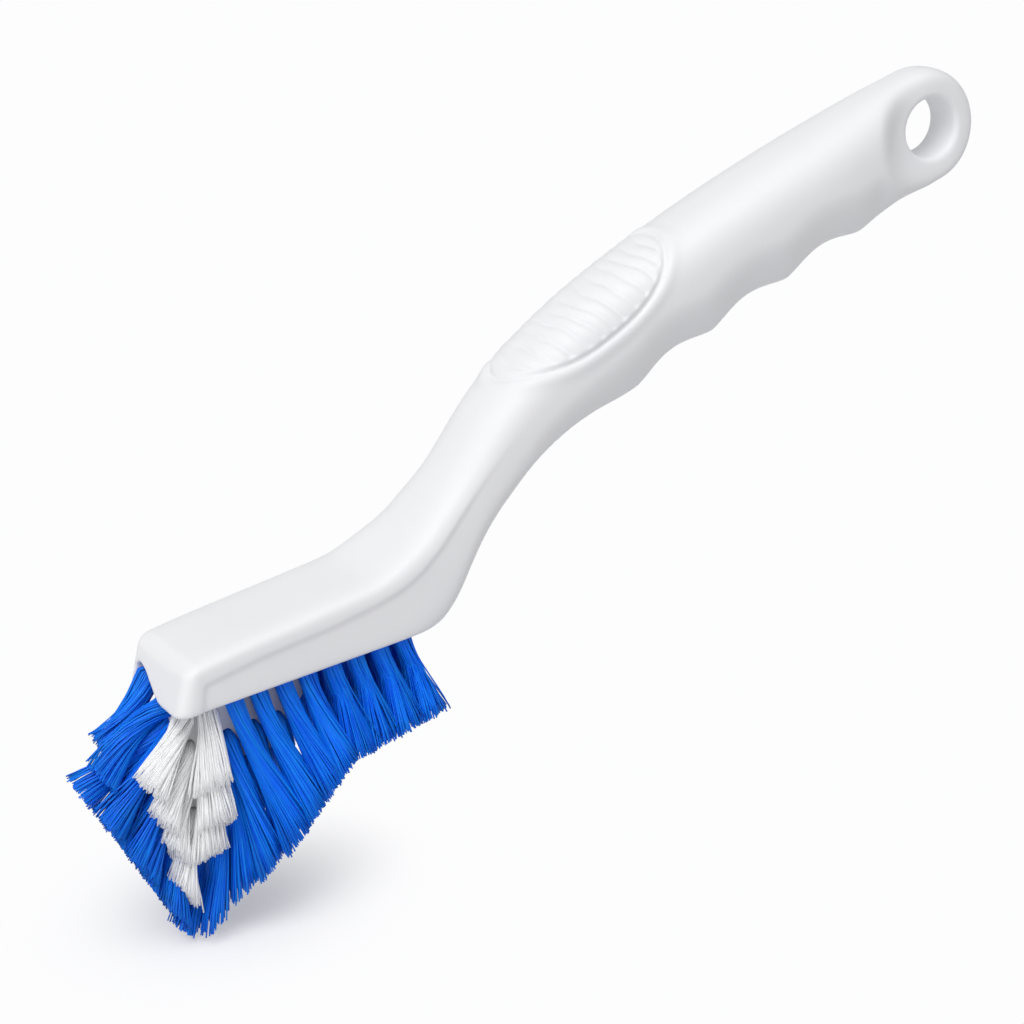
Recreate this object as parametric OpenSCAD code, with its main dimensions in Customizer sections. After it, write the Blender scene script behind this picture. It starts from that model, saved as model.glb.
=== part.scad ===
// Grout brush: a one-piece moulded handle and head, a bristle block with a keel, and bundles of
// filament stapled into the block. +X runs from the head to the hang hole, Y is across the brush
// and +Z is up, with the head's rim level. The origin is the centre of the hang hole.

/* [Head] */
// Length of the straight head before the neck bends up
head_run = 46; // [44:1:50]
// Width of the head across its rim, at the front
head_width = 28.2; // [27.4:0.2:30]
// Width of the head where the neck begins
head_rear_width = 27; // [26:0.2:29]
// Height of the head at its front wall
head_front_height = 11; // [10.4:0.2:13]
// Height of the head where the neck begins
head_rear_height = 14.8; // [14:0.2:18]
// Height of the heel, where the head turns into the neck
heel_height = 19.2; // [17:0.2:21]
// How far the top of the front wall leans back
front_lean = 4.8; // [2:0.5:5]
// Radius of the corners beside the front wall, seen from above
front_round = 3; // [1.5:0.5:4.5]
// Radius of the top edge of the front wall
front_edge = 2.6; // [1:0.2:4]
// Thickness of the walls around the tray that holds the bristle block
tray_wall = 2; // [1.8:0.1:2.4]
// Depth of that tray
tray_depth = 8; // [7.5:0.1:8.2]
// Length of that tray
tray_length = 54; // [52:1:55]
// Distance from the front edge of the rim to the tray
tray_start = 5.6; // [5.4:0.2:6]
// Width of the opening under the front wall
arch_width = 15.5; // [14.5:0.5:16]
// Height of that opening at its highest place, which is near its right end
arch_height = 5.4; // [5:0.2:6]
// Distance of the opening's left end from the middle of the head
arch_left = 3.5; // [3:0.5:5]

/* [Neck] */
// Angle of the neck above the head's rim, in degrees
neck_angle = 42.7; // [40:0.1:48]
// Radius of the bend from head to neck
heel_bend = 37; // [32:1:42]
// Length of the straight neck
neck_run = 21.8; // [15:0.2:26]
// Thickness of the neck
neck_thickness = 15.4; // [14:0.2:17]
// Width of the neck
neck_width = 22.2; // [20:0.2:25]
// Radius of the bend from neck to grip
grip_bend = 67; // [55:1:75]

/* [Grip] */
// Angle of the grip above the head's rim, in degrees
grip_angle = 24.5; // [20:0.5:27]
// Angle of the handle's line at the hang hole, in degrees
end_angle = 9; // [8:0.5:16]
// Length of the grip, from the neck's bend to the hang hole
grip_run = 110.8; // [104:0.2:118]
// Height of the grip at its fullest
grip_height = 26; // [24:0.2:28]
// Width of the grip at its fullest
grip_width = 24.4; // [22:0.2:28]
// Height of the rounded end, twice its radius
end_height = 27; // [24:0.2:28]
// Width of the rounded end
end_width = 16.8; // [15:0.2:20]

/* [Finger grooves] */
// Number of full finger grooves under the grip
finger_grooves = 3; // [2:1:3]
// Distance from one crest between them to the next
finger_pitch = 23; // [21:0.2:25]
// Depth of a finger groove
finger_depth = 2.5; // [1.5:0.1:3.6]
// Distance of the first crest from the neck's bend, along the handle
finger_start = 14.8; // [10:0.2:16]

/* [Hang hole] */
// Diameter of the hang hole
hole_diameter = 14; // [10:0.5:15]
// Thickness of the eyelet around the hole
eyelet_thickness = 11; // [10:0.2:13]
// Diameter of the round flat on each side of the eyelet
eyelet_flat = 28; // [24:0.5:32]

/* [Bristle block] */
// Play between the block and the tray on each side
block_play = 0.15; // [0.05:0.05:0.3]
// How far the block's underside lies inside the rim
block_recess = 1; // [0.5:0.1:1.5]
// How far the keel and its nose stand forward of the tray, into the opening under the front wall
nose_length = 2.6; // [2:0.1:3]
// Play between the nose and that opening
nose_play = 0.3; // [0.1:0.1:0.6]
// Width of the nose's front face
nose_width = 10; // [9:0.2:10.4]
// Depth of the keel below the head's rim
keel_depth = 34; // [33:0.5:38]
// Length of the keel at the rim
keel_length = 34; // [32:0.5:38]
// Width of the keel at the rim
keel_width = 14.4; // [14:0.1:14.6]
// Length of the slanted faces beside the nose, at the rim
chamfer_length = 10; // [9:0.5:11]
// How far the keel's foot stands forward of its top
keel_rake = 4; // [3:0.5:5]
// Length of the keel at its foot
foot_length = 7.6; // [7.2:0.2:9]
// Width of the keel at its foot
foot_width = 7; // [6.6:0.2:8]
// Width of the nose's front face at the foot
foot_nose_width = 4.4; // [4:0.2:5]
// Length of the slanted faces at the foot
foot_chamfer_length = 3; // [2.5:0.5:4]

/* [Tufts] */
// Diameter of a tuft where it leaves the block
tuft_diameter = 3; // [2.6:0.1:3.1]
// Diameter of a tuft at its trimmed end
tuft_tip_diameter = 3.2; // [2.8:0.1:3.3]
// Length of a tuft before it bends to its own direction
tuft_stub = 1.2; // [1:0.1:1.4]
// Play between a tuft and its hole on each side
tuft_play = 0.1; // [0.05:0.05:0.15]
// Depth of a tuft's hole in the block
socket_depth = 2.4; // [2:0.1:2.5]
// Distance from the front edge of the rim to the first tuft beside the keel
edge_start = 13.7; // [13:0.1:15]
// Distance from the last tuft of that row to the end of the tray
edge_end = 4.6; // [4:0.2:5]
// Height between the tiers of tufts on the keel
tier_pitch = 8; // [7.8:0.1:8.2]
// Thickness of the flat wire that anchors a tuft in its hole
staple_thickness = 0.4; // [0.3:0.05:0.6]
// Height of that wire
staple_height = 1.2; // [0.8:0.1:1.4]

/* [Trim] */
// Depth of the lowest bristle tip below the rim
trim_depth = 56.4; // [54:0.2:60]
// How far that tip stands ahead of the rim's front edge
trim_lead = 2.9; // [1:0.1:5]
// How far the foremost tips stand ahead of the rim's front edge
front_reach = 19.7; // [17:0.1:23]
// Depth of the foremost tips below the rim
front_depth = 17.3; // [15:0.1:20]
// Distance from the rim's front edge to the end of the slanted rear trim
rear_reach = 34.5; // [31:0.5:36.5]
// Depth of the trim there
rear_depth = 24.5; // [22:0.5:27]
// Distance from the rim's front edge to the hindmost tips
heel_reach = 57; // [55:0.5:61]
// Depth of the hindmost tips below the rim
heel_depth = 19.6; // [18:0.2:22]

/* [Hidden] */

PLASTIC = "whitesmoke";
BLUE = "dodgerblue";
WHITE = "ghostwhite";
WIRE = "silver";

function mix(a, b, t) = a + (b - a) * t;
function unit(v) = v / norm(v);
function mirrored(p) = [p.x, -p.y, p.z];
function arc_length(radius, angle) = radius * angle * PI / 180;

// The handle's centreline in the XZ plane, as runs: [length, heading at its start and its end].
// It starts in the middle of the front wall, over the front edge of the rim.
rise_angle = atan((head_rear_height - head_front_height) / 2 / head_run);
ROUTE = [
    [head_run, rise_angle, rise_angle],
    [arc_length(heel_bend, neck_angle - rise_angle), rise_angle, neck_angle],
    [neck_run, neck_angle, neck_angle],
    [arc_length(grip_bend, neck_angle - grip_angle), neck_angle, grip_angle],
    [grip_run, grip_angle, end_angle]
];
route_start = [front_lean / 4, head_front_height / 2];
bend_end = ROUTE[0][0] + ROUTE[1][0];
neck_end = bend_end + ROUTE[2][0];
grip_start = neck_end + ROUTE[3][0];
hole_place = grip_start + ROUTE[4][0];

// How far a run of the centreline gets in the share t of its length
function run_step(run, t) = abs(run[2] - run[1]) < 0.01
    ? run[0] * t * [cos(run[1]), sin(run[1])]
    : let(radius = run[0] * 180 / PI / (run[2] - run[1]), now = mix(run[1], run[2], t))
        radius * [sin(now) - sin(run[1]), cos(run[1]) - cos(now)];
function in_run(s, k) = s <= ROUTE[k][0] || k == len(ROUTE) - 1;
function path(s, k = 0) = in_run(s, k)
    ? run_step(ROUTE[k], s / ROUTE[k][0])
    : run_step(ROUTE[k], 1) + path(s - ROUTE[k][0], k + 1);
function heading(s, k = 0) = in_run(s, k)
    ? mix(ROUTE[k][1], ROUTE[k][2], min(s / ROUTE[k][0], 1))
    : heading(s - ROUTE[k][0], k + 1);
hole_middle = route_start + path(hole_place);

// The handle's section at stations along the centreline:
// [distance, height above the line, depth below it, half width, squareness]
below_rim = 2;
heel_middle = mix(head_run, bend_end, 0.5);
neck_middle = mix(bend_end, neck_end, 0.6);
first_crest = grip_start + finger_start;
grip_late = mix(grip_start, hole_place, 0.72);
STATIONS = [
    [0, head_front_height / 2, head_front_height / 2 + below_rim, head_width / 2, 7],
    [head_run, head_rear_height / 2, head_rear_height / 2 + below_rim, head_rear_width / 2, 7],
    [heel_middle, heel_height * 0.44, heel_height * 0.6, head_rear_width / 2 - 0.2, 5.5],
    [bend_end, neck_thickness / 2 + 0.5, neck_thickness / 2 + 0.3, neck_width / 2 + 1, 4],
    [neck_middle, neck_thickness / 2, neck_thickness / 2, neck_width / 2, 3.2],
    [grip_start, grip_height * 0.395, grip_height * 0.42, mix(neck_width, grip_width, 0.6) / 2, 3],
    [first_crest, grip_height * 0.44, grip_height * 0.53, mix(neck_width, grip_width, 0.8) / 2, 3],
    [grip_late, grip_height * 0.46, grip_height * 0.56, grip_width / 2, 2.9],
    [hole_place, end_height / 2, end_height / 2, end_width / 2, 3],
    [hole_place + end_height / 2, end_height / 2, end_height / 2, end_width / 2 - 2, 3]
];
last_station = len(STATIONS) - 1;
function station_behind(s, k = 0) =
    k >= last_station - 1 || s < STATIONS[k + 1][0] ? k : station_behind(s, k + 1);
function slope(k, v) = let(a = STATIONS[max(k - 1, 0)], b = STATIONS[min(k + 1, last_station)])
    (b[v] - a[v]) / (b[0] - a[0]);
// The value v at the distance s, on smooth curves through the stations
function along(s, v) = let(
        k = station_behind(s),
        a = STATIONS[k],
        b = STATIONS[k + 1],
        span = b[0] - a[0],
        t = (s - a[0]) / span)
    (2 * t * t * t - 3 * t * t + 1) * a[v] + (t * t * t - 2 * t * t + t) * span * slope(k, v)
    + (3 * t * t - 2 * t * t * t) * b[v] + (t * t * t - t * t) * span * slope(k + 1, v);

// How far the finger grooves cut into the underside. The one past the last crest is a shallow one.
shallow = 0.45;
function groove(s) = let(t = (s - first_crest) / finger_pitch)
    t < 0 || t > finger_grooves + 1 ? 0
    : pow(abs(sin(180 * t)), 1.4) * finger_depth * (t > finger_grooves ? shallow : 1);
// How far a rounding of radius r draws the section in, at the distance s from the front
function drawn_in(s, r) = s >= r ? 0 : r - sqrt(r * r - (r - s) * (r - s));
// How the sections shrink around the rounded end, and how the front ones lean back
end_radius = end_height / 2;
function end_share(s) = s <= hole_place ? 1 : sqrt(max(1 - pow((s - hole_place) / end_radius, 2), 0));
lean_end = 16;
function lean(s) = atan(front_lean / head_front_height) * max(1 - s / lean_end, 0);

ring_points = 40;
function power(value, exponent) = sign(value) * pow(abs(value), exponent);
// One closed section of the handle
function ring(s) = let(
        middle = route_start + path(min(s, hole_place)),
        ahead = max(s - hole_place, 0),
        turn = heading(s) - lean(s),
        up = (along(s, 1) - drawn_in(s, front_edge)) * end_share(s),
        down = (along(s, 2) - groove(min(s, hole_place))) * end_share(s),
        half = along(s, 3) - drawn_in(s, front_round),
        bend = 2 / along(s, 4))
    [for (j = [0:ring_points - 1]) let(
            angle = 360 * j / ring_points,
            rise = power(sin(angle), bend) * (sin(angle) > 0 ? up : down))
        [middle.x + ahead * cos(turn) - rise * sin(turn),
         half * power(cos(angle), bend),
         middle.y + ahead * sin(turn) + rise * cos(turn)]];
bend_step = 3.9;
grip_step = 2.7;
RING_PLACES = concat(
    [for (t = [0, 0.08, 0.3, 0.65]) front_round * t],
    [for (t = [0.3, 0.6, 1]) lean_end * t],
    [head_run * 0.7, head_run * 0.9],
    [for (s = [head_run:bend_step:grip_start]) s],
    [for (s = [grip_start + grip_step:grip_step:hole_place - 1]) s],
    [for (angle = [0:15:75]) hole_place + end_radius * sin(angle)],
    [hole_place + end_radius * sin(85)]
);

// A solid through closed rings of points, all with the same number of points
module skin(rings) {
    count = len(rings[0]);
    last = len(rings) - 1;
    polyhedron(
        points = [for (r = rings) each r],
        faces = concat(
            [[for (j = [0:count - 1]) j]],
            [[for (j = [count - 1:-1:0]) last * count + j]],
            [for (i = [0:last - 1], j = [0:count - 1])
                [i * count + j, (i + 1) * count + j, (i + 1) * count + (j + 1) % count]],
            [for (i = [0:last - 1], j = [0:count - 1])
                [i * count + j, (i + 1) * count + (j + 1) % count, i * count + (j + 1) % count]]
        )
    );
}

// A flat plate in the XY plane with round corners
module rounded_plate(length, width, height, corner) {
    linear_extrude(height = height) {
        translate([corner, -width / 2]) square([length - 2 * corner, width]);
        translate([0, corner - width / 2]) square([length, width - 2 * corner]);
        for (x = [corner, length - corner], y = [corner - width / 2, width / 2 - corner])
            translate([x, y]) circle(r = corner, $fn = 32);
    }
}

// The opening under the front wall: a slanting line that rises from its left end, and a steep
// right end, as the curve t^rise * (1 - t)^fall over its width
arch_rise = 1.5;
arch_fall = 0.3;
arch_steps = 24;
function arch_curve(t) = pow(t, arch_rise) * pow(1 - t, arch_fall);
function arch_top(t) = arch_height * arch_curve(t) / arch_curve(arch_rise / (arch_rise + arch_fall));
// As a bar along X, smaller by gap all round
module arch_bar(start, length, gap) {
    translate([start, -arch_left, 0]) rotate([90, 0, 90]) linear_extrude(height = length) polygon(concat(
        [[arch_width - gap, -1], [gap, -1]],
        [for (i = [0:arch_steps]) [mix(gap, arch_width - gap, i / arch_steps),
            arch_top(i / arch_steps) - gap]]
    ));
}

tray_corner = 3;
tray_width = head_rear_width - 2 * tray_wall;
far = 300;
module handle() {
    hole_turn = heading(hole_place);
    color(PLASTIC) difference() {
        skin([for (s = RING_PLACES) ring(s)]);
        // The rim is flat
        translate([-far / 2, -far / 2, -far]) cube(far);
        translate([tray_start, 0, -1])
            rounded_plate(tray_length, tray_width, tray_depth + 1, tray_corner);
        arch_bar(-2 * front_lean, 2 * front_lean + tray_start + tray_corner, 0);
        translate([hole_middle.x, 0, hole_middle.y]) rotate([90, -hole_turn, 0]) {
            cylinder(d = hole_diameter, h = 2 * end_width, center = true, $fn = 96);
            for (side = [0, 1]) mirror([0, 0, side]) translate([0, 0, eyelet_thickness / 2])
                cylinder(d = eyelet_flat, h = end_width, $fn = 96);
        }
    }
}

// The keel's outline at the depth z: places along X, and half widths
keel_start = tray_start - nose_length;
function keel_share(z) = -z / keel_depth;
function keel_front(z) = keel_start - keel_rake * keel_share(z);
function keel_rear(z) = keel_front(z) + mix(keel_length, foot_length, keel_share(z));
function keel_half(z) = mix(keel_width, foot_width, keel_share(z)) / 2;
function nose_half(z) = mix(nose_width, foot_nose_width, keel_share(z)) / 2;
function chamfer_end(z) = keel_front(z) + mix(chamfer_length, foot_chamfer_length, keel_share(z));
function keel_outline(z) = let(half = [
        [keel_front(z), nose_half(z)],
        [chamfer_end(z), keel_half(z)],
        [keel_rear(z), keel_half(z)]])
    concat(half, [for (i = [2:-1:0]) [half[i].x, -half[i].y]]);
foot_land = 1;
module keel() {
    hull() {
        linear_extrude(height = block_recess + 1) polygon(keel_outline(0));
        translate([0, 0, -keel_depth])
            linear_extrude(height = foot_land) polygon(keel_outline(-keel_depth));
    }
}

slab_width = tray_width - 2 * block_play;
module bristle_block() {
    color(PLASTIC) difference() {
        union() {
            translate([tray_start + block_play, 0, block_recess]) rounded_plate(
                tray_length - 2 * block_play, slab_width, tray_depth - block_recess, tray_corner);
            difference() {
                keel();
                // Room for the front wall
                translate([tray_start + block_play - far, -far / 2, -nose_play]) cube(far);
            }
            // The nose, which fills the opening under the front wall
            arch_bar(keel_start, nose_length + tray_corner, nose_play);
        }
        for (tuft = TUFTS) socket(tuft);
    }
}

// Where tufts leave the block: on the nose, on the slanted faces, on the keel's sides, and beside
// and behind the keel. Left is -Y.
function nose_root(share, y) = [keel_front(-keel_depth * share), y, -keel_depth * share];
function chamfer_root(z, t) =
    [mix(keel_front(z), chamfer_end(z), t), -mix(nose_half(z), keel_half(z), t), z];
function side_root(z, t) = [mix(chamfer_end(z), keel_rear(z), t), -keel_half(z), z];
edge_middle = (keel_width + slab_width) / 4;
heel_first = 4;
heel_count = 4;
edge_pitch = (tray_start + tray_length - edge_end - edge_start) / (heel_first + heel_count - 1);
function edge_root(i, y) = [edge_start + i * edge_pitch, y, block_recess];
first_tier = -3;
function tier(k) = first_tier - k * tier_pitch;

// Where tufts are trimmed: a V seen from the side, then a shorter step below the heel
TRIM_TIP = [-trim_lead, -trim_depth];
function trim(corner, t, y) = let(p = mix(TRIM_TIP, corner, t)) [p.x, y, p.y];
function front_trim(t, y) = trim([-front_reach, -front_depth], t, y);
function rear_trim(t, y) = trim([rear_reach, -rear_depth], t, y);
heel_step = 1;
function heel_trim(t, y) =
    let(p = mix([rear_reach, heel_step - rear_depth], [heel_reach, -heel_depth], t)) [p.x, y, p.y];

// Directions in which tufts leave the block
DOWN = [0, 0, -1];
FORWARD = unit([-1, 0, -0.9]);
ARCH_FORWARD = unit([-1, 0, -0.5]);
LEFT = unit([0, -0.7, -1]);
NOSE_LEFT = unit([-0.9, -0.6, -1]);
SIDE_LEFT = unit([-0.2, -0.9, -1]);

// Each tuft is [name, root, tip, direction in which it leaves the block, colour].
// Beside the keel, shares of the keel's side and of the trim, tier by tier:
KEEL_PLACES = [[0.15, 0.5, 0.83], [0.23, 0.68], [0.28]];
KEEL_TRIMS = [[0.47, 0.6, 0.73], [0.32, 0.44], [0.13]];
KEEL_SPREADS = head_width / 2 * [0.8, 0.51, 0.3];
EDGE_TRIMS = [0.64, 0.77, 0.9, 1];
edge_spread = head_width / 2 + 0.4;
heel_spread = head_width / 2 - 0.9;
function on_heel(i) = (i - heel_first + 0.7) / (heel_count - 0.3);
function left_side(name, tint) = concat(
    [for (i = [0:heel_first - 1]) [str(name, "_edge_tuft_", i + 1), edge_root(i, -edge_middle),
        rear_trim(EDGE_TRIMS[i], -edge_spread), DOWN, tint]],
    [for (k = [0:2], i = [0:2 - k]) [str(name, "_keel_tuft_", k + 1, "_", i + 1),
        side_root(tier(k + 1), KEEL_PLACES[k][i]),
        rear_trim(KEEL_TRIMS[k][i], -KEEL_SPREADS[k]), LEFT, tint]],
    [for (i = [heel_first:heel_first + heel_count - 1]) [str(name, "_heel_tuft_", i - heel_first + 1),
        edge_root(i, -edge_middle), heel_trim(on_heel(i), -heel_spread), DOWN, tint]]
);
// On the slanted faces, shares of the face's length, and tips
CORNER_PLACES = [0.12, 0.16, 0.14, 0.36];
CORNER_TRIMS = [0, 0.33, 0.62, 1];
CORNER_SIDE_PLACES = [0.64, 0.76, 0.87];
CORNER_SIDE_TIPS = [[4, -12.8, -18.7], [4, -12, -27.5], [2, -9.2, -35.4]];
CORNER_TIPS = [[-8.5, -9.6, -14.8], [-2.4, -5.2, -44]];
function corner(name, count, tint) = concat(
    [for (k = [0:count - 1]) [str(name, "_front_tuft_", k + 1), chamfer_root(tier(k), CORNER_PLACES[k]),
        mix(CORNER_TIPS[0], CORNER_TIPS[1], CORNER_TRIMS[k]), NOSE_LEFT, tint]],
    [for (k = [0:2]) [str(name, "_side_tuft_", k + 1), chamfer_root(tier(k), CORNER_SIDE_PLACES[k]),
        CORNER_SIDE_TIPS[k], SIDE_LEFT, tint]]
);
function mirror_tuft(t) = [t[0], mirrored(t[1]), mirrored(t[2]), mirrored(t[3]), t[4]];

TUFTS = concat(
    left_side("left", BLUE),
    [for (t = left_side("right", BLUE)) mirror_tuft(t)],
    corner("white", 4, WHITE),
    [for (t = corner("far", 3, BLUE)) mirror_tuft(t)],
    [["front_tuft_1", nose_root(0.19, 1.8), front_trim(1, 4.4), FORWARD, BLUE],
     ["front_tuft_2", nose_root(0.19, -1.8), front_trim(0.84, -2), FORWARD, BLUE],
     ["front_tuft_3", nose_root(0.432, 1.7), front_trim(0.72, 2.6), FORWARD, BLUE],
     ["front_tuft_4", nose_root(0.432, -1.7), front_trim(0.6, -2.2), FORWARD, BLUE],
     ["front_tuft_5", nose_root(0.645, -0.4), front_trim(0.51, -2.4), FORWARD, BLUE],
     ["front_tuft_6", nose_root(0.762, 1.8), front_trim(0.35, 3.4), FORWARD, BLUE],
     ["front_tuft_7", nose_root(0.91, -0.4), front_trim(0.17, -1.6), FORWARD, BLUE],
     ["arch_tuft_1", [keel_start, 8.8, 2.3], [-13.5, 8.4, -8.5], ARCH_FORWARD, BLUE],
     ["arch_tuft_2", [keel_start, 0.8, -1.6], [-13.5, 0.6, -11.9], FORWARD, BLUE],
     ["tip_tuft", [mix(keel_front(-keel_depth), keel_rear(-keel_depth), 0.66), 0, -keel_depth],
        [TRIM_TIP.x, 0, TRIM_TIP.y], DOWN, BLUE]],
    [for (side = [-1, 1], i = [5:7]) [str(side < 0 ? "left" : "right", "_inner_heel_tuft_", i - 4),
        edge_root(i, side * edge_middle / 3), heel_trim(on_heel(i), side * heel_spread / 3), DOWN, BLUE]]
);

// A frame that stands at the point p with its Z axis along the direction d
module aim(p, d) {
    translate(p) rotate([0, acos(d.z), atan2(d.y, d.x)]) children();
}

cut_through = 3;
module socket(tuft) {
    aim(tuft[1] - tuft[3] * socket_depth, tuft[3])
        cylinder(d = tuft_diameter + 2 * tuft_play, h = socket_depth + cut_through, $fn = 32);
}

staple_play = 0.05;
staple_width = tuft_diameter + 2 * (tuft_play - staple_play);
// A bar across the bottom of a tuft's hole
module cross_bar(tuft, thickness, width, height) {
    aim(tuft[1] - tuft[3] * socket_depth, tuft[3])
        translate([-thickness / 2, -width / 2, 0]) cube([thickness, width, height]);
}

// The elbow stands a little proud of the stub, and the brush of filament starts a little inside it
elbow_step = 0.1;
module tuft(t) {
    elbow = t[1] + t[3] * tuft_stub;
    run = t[2] - elbow;
    color(t[4]) union() {
        difference() {
            aim(t[1] - t[3] * (socket_depth - tuft_play), t[3])
                cylinder(d = tuft_diameter, h = socket_depth - tuft_play + tuft_stub, $fn = 32);
            cross_bar(t, staple_thickness + 2 * staple_play, 2 * tuft_diameter,
                staple_height + staple_play);
        }
        translate(elbow) sphere(d = tuft_diameter + elbow_step, $fn = 32);
        aim(elbow, unit(run))
            cylinder(d1 = tuft_diameter - elbow_step, d2 = tuft_tip_diameter, h = norm(run), $fn = 32);
    }
}

module staples() {
    color(WIRE) for (t = TUFTS) cross_bar(t, staple_thickness, staple_width, staple_height);
}

// From the front edge of the rim to the hang hole
module to_hole() {
    translate([-hole_middle.x, 0, -hole_middle.y]) children();
}

to_hole() handle();
to_hole() bristle_block();
to_hole() staples();
for (t = TUFTS) to_hole() tuft(t);
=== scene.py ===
# %% [markdown]
# # A grout brush
# A grout brush is a white moulded handle with a small head. A plug with a keel closes the head,
# and bundles of blue and white filament are anchored in the plug. This lesson dresses the packed
# CAD model: the handle gets its soft moulded skin, and every bundle gets its single filaments. The
# plug and the wire anchors keep their imported shape and only get a material. The frame comes first.
# Everything below is placed by it, and its box is kept, which sets the floor's height.

# %% Load the frame
import random

import bmesh
import bpy
import numpy as np
from mathutils import Matrix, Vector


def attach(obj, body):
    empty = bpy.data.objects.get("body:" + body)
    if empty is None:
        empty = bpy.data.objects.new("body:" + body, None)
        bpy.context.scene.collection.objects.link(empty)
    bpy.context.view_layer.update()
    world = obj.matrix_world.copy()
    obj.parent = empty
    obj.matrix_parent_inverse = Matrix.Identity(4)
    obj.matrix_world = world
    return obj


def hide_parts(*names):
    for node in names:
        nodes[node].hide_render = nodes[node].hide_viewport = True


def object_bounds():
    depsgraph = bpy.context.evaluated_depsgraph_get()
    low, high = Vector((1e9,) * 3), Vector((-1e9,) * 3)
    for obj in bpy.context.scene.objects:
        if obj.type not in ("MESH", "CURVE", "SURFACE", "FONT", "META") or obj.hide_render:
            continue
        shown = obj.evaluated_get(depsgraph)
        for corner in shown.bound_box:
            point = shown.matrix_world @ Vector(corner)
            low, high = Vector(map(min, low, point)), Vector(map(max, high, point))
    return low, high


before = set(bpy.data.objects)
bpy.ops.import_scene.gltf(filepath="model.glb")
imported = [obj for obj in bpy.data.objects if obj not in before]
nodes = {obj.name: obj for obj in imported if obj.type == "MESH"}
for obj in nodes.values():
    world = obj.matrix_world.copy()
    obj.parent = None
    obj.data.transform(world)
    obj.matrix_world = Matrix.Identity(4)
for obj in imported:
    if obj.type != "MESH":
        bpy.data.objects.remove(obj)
cad_box = [list(map(float, corner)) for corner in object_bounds()]
scene = bpy.context.scene
MM = 0.001
print("frame:", len(nodes), "nodes, box in mm",
      [[round(value / MM, 1) for value in corner] for corner in cad_box])

# %% [markdown]
# ## The handle's line
# The handle is one curved bar. Its middle line lies in the XZ plane: straight over the head, bent
# up at the heel, straight in the neck, bent back into the grip, and slightly bowed along the grip.
# It could be drawn as a curve by eye. Here it is worked out from the driving values of the part's
# source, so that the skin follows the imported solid. They are in millimetres, measured from the
# front of the rim, and in degrees.

# %% Driving values of the handle
HEAD_RUN, HEAD_WIDTH, HEAD_REAR_WIDTH = 46.0, 28.2, 27.0
HEAD_FRONT_HEIGHT, HEAD_REAR_HEIGHT, HEEL_HEIGHT = 11.0, 14.8, 19.2
FRONT_LEAN, LEAN_END = 4.8, 16.0
NECK_ANGLE, HEEL_BEND, NECK_RUN, NECK_THICKNESS, NECK_WIDTH = 42.7, 37.0, 21.8, 15.4, 22.2
GRIP_BEND, GRIP_ANGLE, END_ANGLE, GRIP_RUN = 67.0, 24.5, 9.0, 110.8
GRIP_HEIGHT, GRIP_WIDTH, END_HEIGHT, END_WIDTH = 26.0, 24.4, 27.0, 16.8
FINGER_START = 14.8         # from the start of the grip to the first crest

# %% The middle line as a fine table
LINE_BEFORE, LINE_POINTS = 30, 2560    # mm that the line starts before the rim, and its points


def middle_line():
    """Distances along the line, its points, and the turn of the sections that stand on it"""
    climb = np.degrees(np.arctan((HEAD_REAR_HEIGHT - HEAD_FRONT_HEIGHT) / 2 / HEAD_RUN))
    heel = HEEL_BEND * np.radians(NECK_ANGLE - climb)
    bend = GRIP_BEND * np.radians(NECK_ANGLE - GRIP_ANGLE)
    runs = [(HEAD_RUN, climb), (heel, NECK_ANGLE), (NECK_RUN, NECK_ANGLE), (bend, GRIP_ANGLE),
            (GRIP_RUN, END_ANGLE)]
    knots = np.cumsum([0] + [length for length, _ in runs])
    headings = [climb] + [heading for _, heading in runs]
    s = np.linspace(-LINE_BEFORE, knots[-1], LINE_POINTS)
    middles = np.radians(np.interp((s[1:] + s[:-1]) / 2, knots, headings))
    x = np.concatenate([[0], np.cumsum(np.cos(middles) * np.diff(s))])
    z = np.concatenate([[0], np.cumsum(np.sin(middles) * np.diff(s))])
    x += FRONT_LEAN / 4 - np.interp(0, s, x)
    z += HEAD_FRONT_HEIGHT / 2 - np.interp(0, s, z)
    lean = np.arctan(FRONT_LEAN / HEAD_FRONT_HEIGHT) * np.clip(1 - s / LEAN_END, 0, 1)
    turn = np.radians(np.interp(s, knots, headings)) - lean
    return knots, s, x, z, turn


KNOTS, LINE_S, LINE_X, LINE_Z, LINE_TURN = middle_line()
BEND_END, NECK_END, GRIP_START, HOLE_PLACE = KNOTS[2:6]
FIRST_CREST = GRIP_START + FINGER_START
TURN_RATE = np.gradient(LINE_TURN, LINE_S)
HOLE = np.array([LINE_X[-1], 0, LINE_Z[-1]])
print("hang hole", HOLE.round(2), "mm from the front of the rim; the frame's origin is there")

# %% [markdown]
# ## The sections
# The bar's section changes along the line: nearly square at the head, oval at the grip. It could
# be lofted between a few drawn outlines. A table of stations does the same and reads better. Each
# row holds the distance along the line, the height above it, the depth below it, half the width,
# and how square the section is. Heights and widths are shares of the driving values.

# %% The stations
BELOW_RIM = 2.0             # mm that the head's sections reach below the rim, where they are cut


def mix(a, b, share):
    return a + (b - a) * share


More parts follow.
